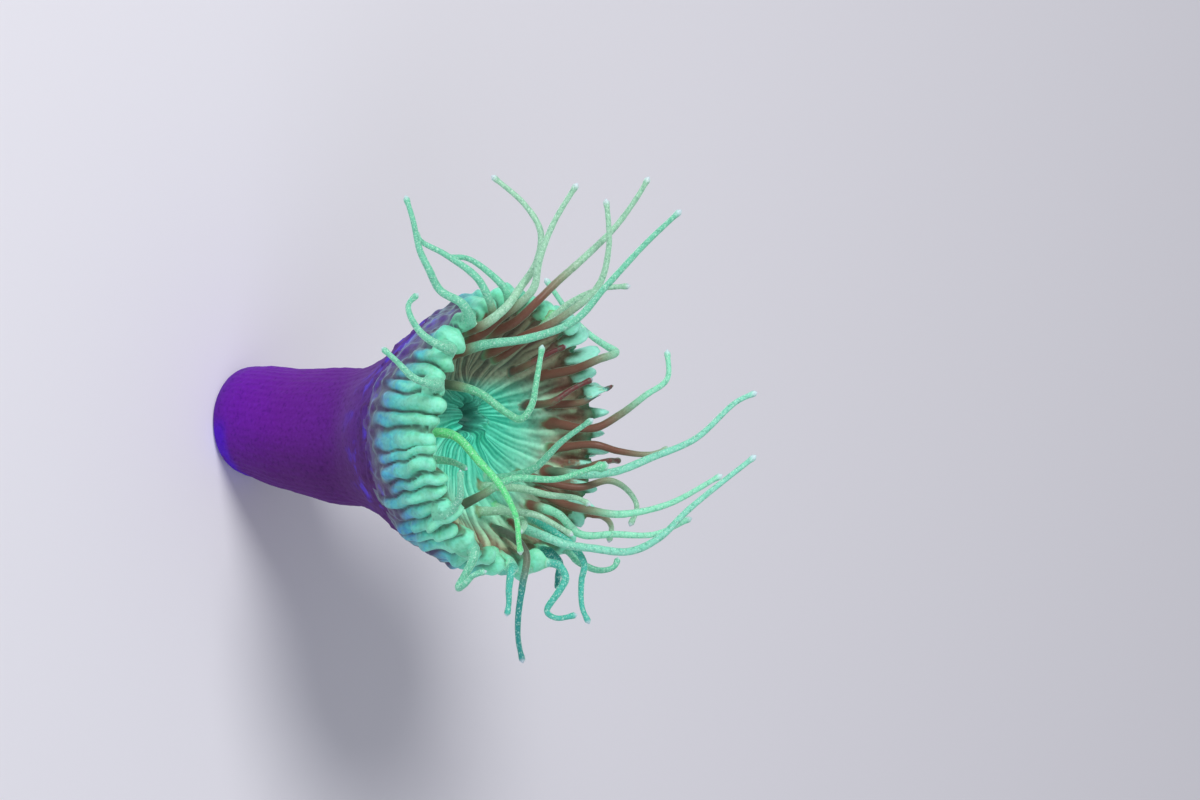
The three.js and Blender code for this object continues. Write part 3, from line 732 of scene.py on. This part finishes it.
def flesh_material(name, sheen, tint, roughness, specular):
    """Living tissue with all the paints, each in its own place, and a fine grain to its surface."""
    material = bpy.data.materials.new(name)
    material.use_nodes = True
    tree = material.node_tree
    tree.nodes.clear()
    coords = add(tree, "ShaderNodeTexCoord").outputs["Object"]
    mm = add(tree, "ShaderNodeMapping", {"Scale": (1 / MM,) * 3}, {"Vector": coords}).outputs["Vector"]
    east, north, height = add(tree, "ShaderNodeSeparateXYZ", links={"Vector": mm}).outputs
    place, lobe, ridge, tentacle, share, brown, tone = (
        add(tree, "ShaderNodeAttribute", {"attribute_name": layer}).outputs["Fac"] for layer in LAYERS)
    broad, patchy, fine, speck = (
        add(tree, "ShaderNodeTexNoise", {"Scale": 1 / size, "Detail": detail}, {"Vector": mm}).outputs["Fac"]
        for size, detail in PATTERNS)
    offset = add(tree, "ShaderNodeMath", {"operation": "SUBTRACT", 1: 0.5}, {0: patchy}).outputs[0]
    ragged = add(tree, "ShaderNodeMath", {"operation": "MULTIPLY_ADD", 1: RAGGEDNESS},
                 {0: offset, 2: place}).outputs[0]

    colour = coated(
        tree, column_paint(tree, ragged, east, north, height, broad, patchy),
        (where(tree, 1.0, (ragged, 4.28, 4.42)), collar_paint(tree, ragged, lobe, north, broad, patchy)),
        (where(tree, 1.0, (ragged, 4.93, 4.99)), disc_paint(tree, ragged, ridge, east, north)))
    colour = coated(tree, colour, (where(tree, 0.3, (fine, 0.5, 0.72)), "#D8FFF0"),
                    (where(tree, 0.3, (fine, 0.48, 0.3)), "#203040"), way="SOFT_LIGHT")
    colour = coated(tree, colour, (where(tree, 1.0, (tentacle, 0.2, 0.8)),
                                   tentacle_paint(tree, share, brown, tone, fine, speck)))

    specks = add(tree, "ShaderNodeMath", {"operation": "MULTIPLY", 1: 0.3}, {0: speck}).outputs[0]
    relief = add(tree, "ShaderNodeMath", {"operation": "MULTIPLY_ADD", 1: 0.5},
                 {0: fine, 2: specks}).outputs[0]
    bump = add(tree, "ShaderNodeBump", {"Strength": 0.35, "Distance": GRAIN_DEPTH},
               {"Height": relief}).outputs["Normal"]
    shader = add(tree, "ShaderNodeBsdfPrincipled", {
        "Roughness": roughness, "IOR": WET_TISSUE_IOR, "Specular IOR Level": specular,
        "Subsurface Weight": 0.25, "Subsurface Scale": 2 * MM, "Subsurface Radius": (0.6, 1.0, 0.8),
        "Sheen Weight": sheen, "Sheen Roughness": 0.35, "Sheen Tint": linear(tint),
        "Emission Strength": GLOW}, {"Base Color": colour, "Emission Color": colour, "Normal": bump})
    add(tree, "ShaderNodeOutputMaterial", links={"Surface": shader.outputs["BSDF"]})
    return material


# The column's skin is dull as velvet with a violet bloom. The crown's is moist and pale green at its
# edges, since it fluoresces. The tentacles are the clearest, so that their edges catch the most light.
COLUMN_SKIN, CROWN_FLESH, TENTACLE_FLESH = range(3)
skin.data.materials.clear()
for flesh in (
        flesh_material("velvety column skin", sheen=0.1, tint="#7A30D8", roughness=0.6, specular=0.15),
        flesh_material("fluorescent crown flesh", sheen=0.6, tint="#B8FFE4", roughness=0.42, specular=0.35),
        flesh_material("clear tentacle flesh", sheen=1.0, tint="#C8FFE0", roughness=0.38, specular=0.35)):
    skin.data.materials.append(flesh)
place_of, tentacle_of = (skin.data.attributes[name].data for name in ("place", "tentacle"))
for face in skin.data.polygons:
    face.material_index = COLUMN_SKIN
    if any(place_of[i].value > COLLAR + 0.2 or tentacle_of[i].value > 0.3 for i in face.vertices):
        face.material_index = CROWN_FLESH
    if all(tentacle_of[i].value > 0.95 for i in face.vertices):
        face.material_index = TENTACLE_FLESH
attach(skin, "root")
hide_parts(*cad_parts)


# ---------------------------------------------------------------------------------------------
# Studio: a plain pale floor of matt paper, soft lights and the camera. The camera looks steeply down
# on the standing animal and is turned a quarter, so that the column lies to the left of the picture.
TARGET = Vector((-6.6, 14.4, 127.2)) * MM
LOOK_DOWN = math.radians(37)
CAMERA_DISTANCE = 1.6

floor_mesh = bmesh.new()
bmesh.ops.create_grid(floor_mesh, x_segments=1, y_segments=1, size=4.0)
floor = object_of(floor_mesh, "studio_floor")
paper = bpy.data.materials.new("matt paper backdrop")
paper.use_nodes = True
paper.node_tree.nodes["Principled BSDF"].inputs["Base Color"].default_value = linear("#EEECF2")
paper.node_tree.nodes["Principled BSDF"].inputs["Roughness"].default_value = 0.9
floor.data.materials.append(paper)

world = bpy.data.worlds.new("soft studio air")
world.use_nodes = True
world.node_tree.nodes["Background"].inputs["Color"].default_value = linear("#E6E8F0")
world.node_tree.nodes["Background"].inputs["Strength"].default_value = 0.38
scene.world = world


def softbox(name, place, size, power, tint):
    """A round soft lamp that faces the crown, with its place and size in metres and its power in watts."""
    lamp = bpy.data.lights.new(name, "AREA")
    lamp.shape = "DISK"
    lamp.size = size
    lamp.energy = power
    lamp.color = linear(tint)[:3]
    made = bpy.data.objects.new(name, lamp)
    made.location = place
    made.rotation_euler = (TARGET - Vector(place)).to_track_quat("-Z", "Y").to_euler()
    scene.collection.objects.link(made)


softbox("key", (-1.0, -0.7, 1.3), 0.7, 21, "#FFFFFF")
softbox("fill", (0.9, -0.9, 0.9), 1.2, 4, "#E8ECFF")

camera = bpy.data.cameras.new("camera")
camera.lens = 160
camera.sensor_width = 36
camera.clip_start = 0.05
camera.clip_end = 20
viewer = bpy.data.objects.new("camera", camera)
right = Vector((0, math.sin(LOOK_DOWN), math.cos(LOOK_DOWN)))
back = Vector((0, -math.cos(LOOK_DOWN), math.sin(LOOK_DOWN)))
up = back.cross(right)
turned = Matrix((right, up, back)).transposed().to_4x4()
viewer.matrix_world = Matrix.Translation(TARGET + back * CAMERA_DISTANCE) @ turned
scene.collection.objects.link(viewer)
scene.camera = viewer
scene.view_settings.view_transform = "Standard"
